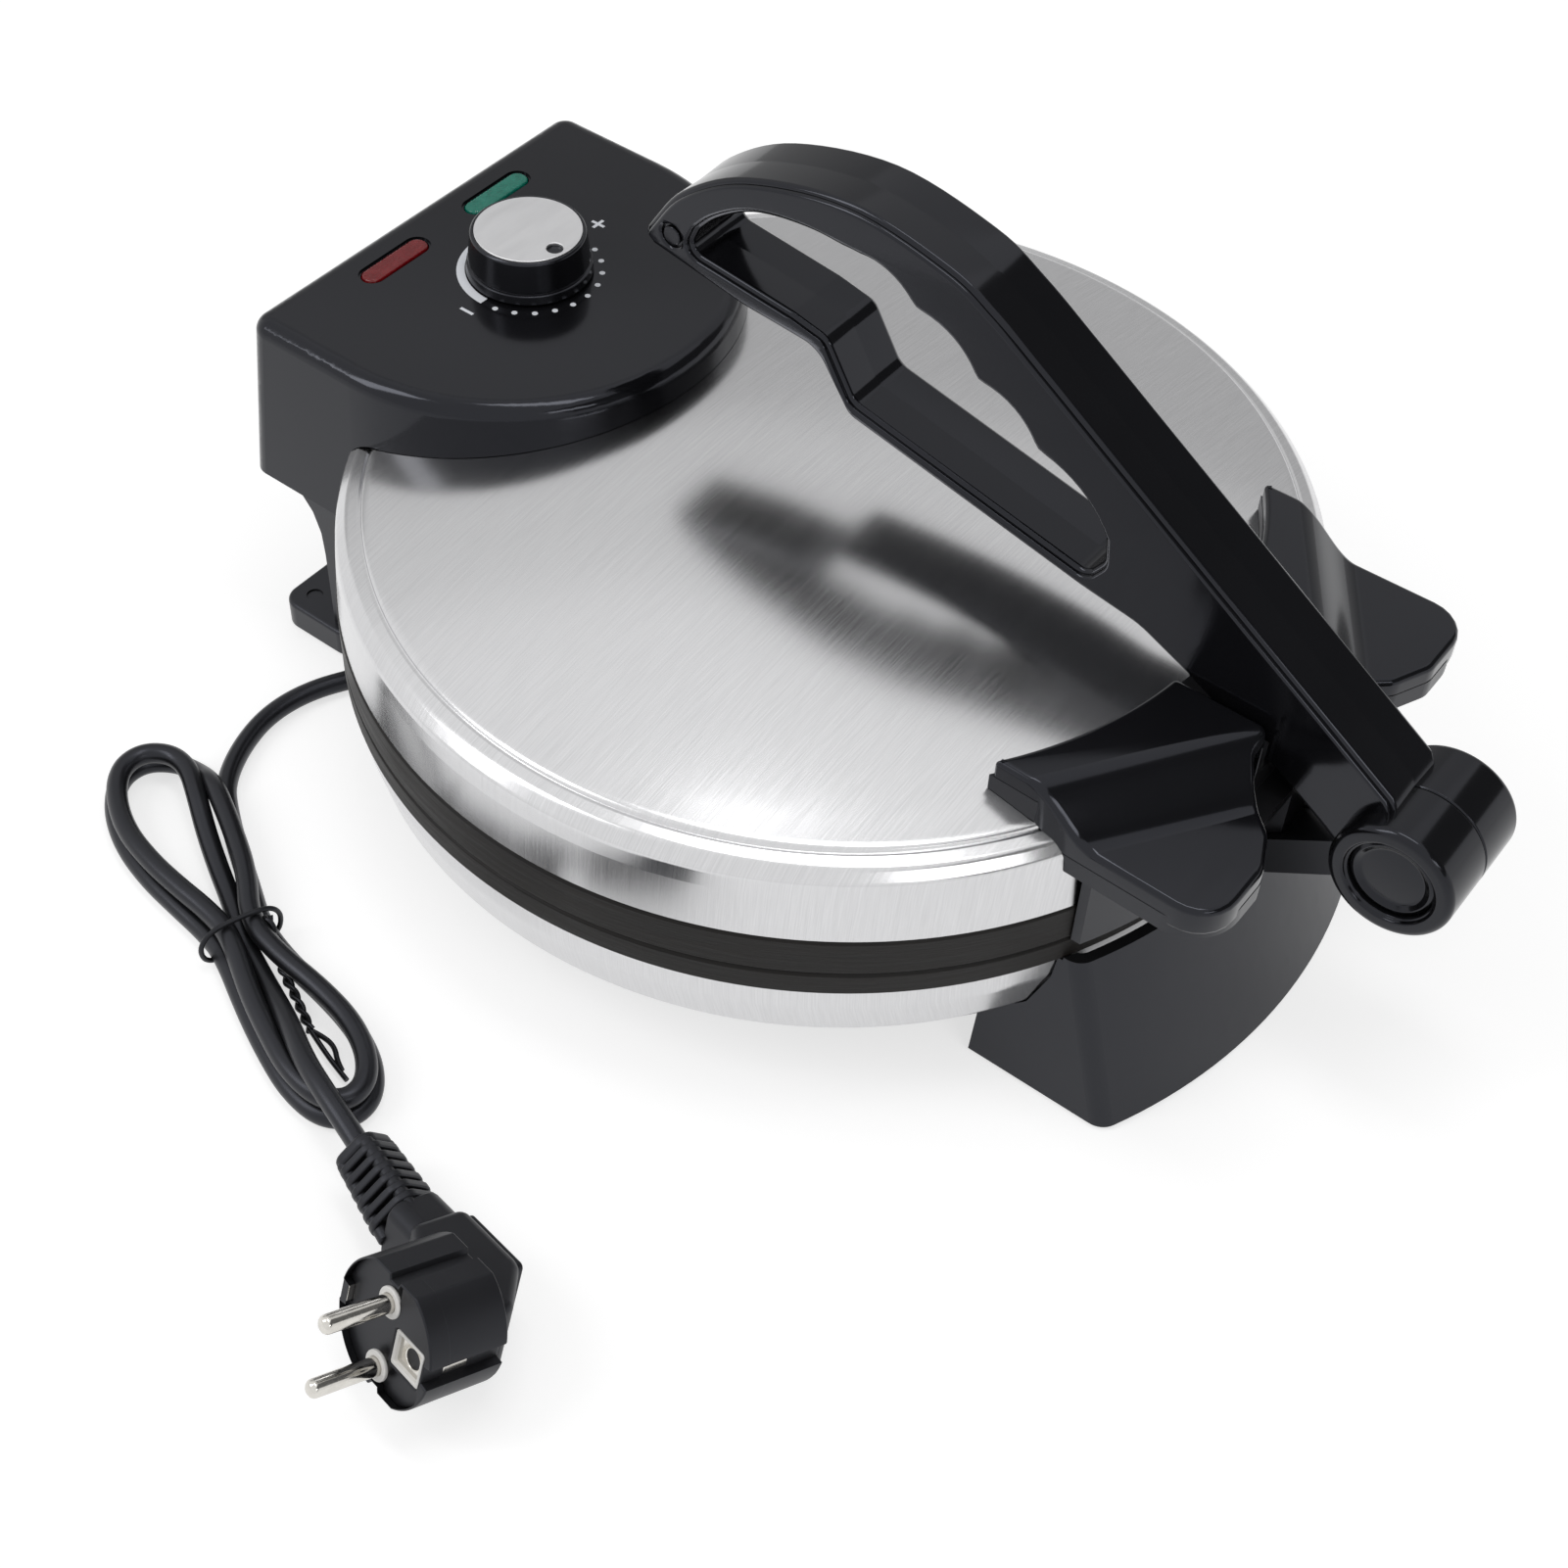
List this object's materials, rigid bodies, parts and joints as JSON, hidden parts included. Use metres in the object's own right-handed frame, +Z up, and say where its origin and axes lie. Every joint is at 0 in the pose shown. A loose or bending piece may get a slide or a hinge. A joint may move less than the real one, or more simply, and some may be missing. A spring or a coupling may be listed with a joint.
{
  "type": "electric roti maker",
  "caption": "Electric flatbread maker with hinged steel lid, pressing lever, thermostat dial, lamps and mains lead.",
  "frame": {"origin": "on the table, under the middle of the body's length and width", "axes": "+Z up, -Y towards the control box, +Y towards the hinge"},
  "size_m": [0.4008, 0.3592, 0.1965],
  "materials": {
    "polished_steel": "spun and finely brushed, bright",
    "black_rim": "semi-matte phenolic with a faint streak",
    "cast_plate": "dark non-stick coating",
    "element_steel": "dull tube",
    "sheet_aluminium": "plain sheet",
    "gloss_black": "glossy black moulding",
    "satin_black": "satin black moulding",
    "lever_black": "satin black moulding with a soft gloss",
    "hub_black": "satin gloss",
    "plain_steel": "zinc-plated steel",
    "screw_steel": "zinc-plated",
    "pad_rubber": "matte",
    "terminal_white": "natural nylon",
    "fuse_metal": "plain can",
    "wire_red": "silicone sleeve",
    "thermostat_ceramic": "unglazed ceramic",
    "shaft_brass": "turned",
    "red_clear": "clear red, ribbed",
    "green_clear": "clear green, ribbed",
    "lamp_glass": "clear",
    "mark_white": "pad-printed white",
    "knob_black": "satin gloss",
    "knob_silver": "fine spun disc",
    "cord_pvc": "satin PVC sheath",
    "tie_plastic": "satin strap",
    "plug_pvc": "satin moulded PVC",
    "pin_nickel": "bright nickel",
    "collar_white": "white moulding"
  },
  "bodies": {
    "base": {"base_bowl": "polished_steel", "lower_rim": "black_rim", "lower_plate": "cast_plate", "lower_heating_element": "element_steel", "lower_reflector": "sheet_aluminium", "rear_foot": "satin_black", "front_stand": "satin_black", "bottom_cover": "satin_black", "cord_gland": "satin_black", "hinge_bracket": "plain_steel", "hinge_axle": "plain_steel", "base_screws": "screw_steel", "rubber_pads": "pad_rubber", "terminal_block": "terminal_white", "thermal_fuse": "fuse_metal", "base_wires": "wire_red", "power_cord": "cord_pvc", "cord_hank": "cord_pvc", "cord_end": "cord_pvc", "cord_tie": "tie_plastic", "plug_body": "plug_pvc", "plug_pins": "pin_nickel", "earth_clips": "pin_nickel", "pin_collars": "collar_white"},
    "lid": {"lid_shell": "polished_steel", "upper_rim": "black_rim", "upper_plate": "cast_plate", "upper_heating_element": "element_steel", "upper_reflector": "sheet_aluminium", "control_box": "gloss_black", "dial_marks": "mark_white", "control_box_tray": "satin_black", "red_lens": "red_clear", "green_lens": "green_clear", "lamp_holders": "terminal_white", "neon_lamps": "lamp_glass", "thermostat": "thermostat_ceramic", "lid_wires": "wire_red", "wing_cover": "gloss_black", "wing_housing": "satin_black", "lid_arm": "plain_steel", "lid_screws": "screw_steel"},
    "lever": {"lever_right_shell": "lever_black", "lever_left_shell": "lever_black", "hub_cap_right": "hub_black", "hub_cap_left": "hub_black", "lever_plug": "lever_black", "lever_core": "plain_steel", "lever_screws": "screw_steel"},
    "dial": {"knob": "knob_black", "knob_cap": "knob_silver", "thermostat_shaft": "shaft_brass"}
  },
  "joints": [
    {"name": "lid_hinge", "type": "hinge", "parent": "base", "child": "lid", "pos_m": [0, 0.16262, 0.083], "axis": [-1, 0, 0], "range_deg": [0, 95]},
    {"name": "lever_pivot", "type": "hinge", "parent": "lid", "child": "lever", "pos_m": [0, 0.16262, 0.083], "axis": [-1, 0, 0], "range_deg": [0, 8]},
    {"name": "knob_turn", "type": "hinge", "parent": "lid", "child": "dial", "pos_m": [0, -0.13058, 0.1165], "axis": [0, 0, 1], "range_deg": [-80, 100]}
  ]
}
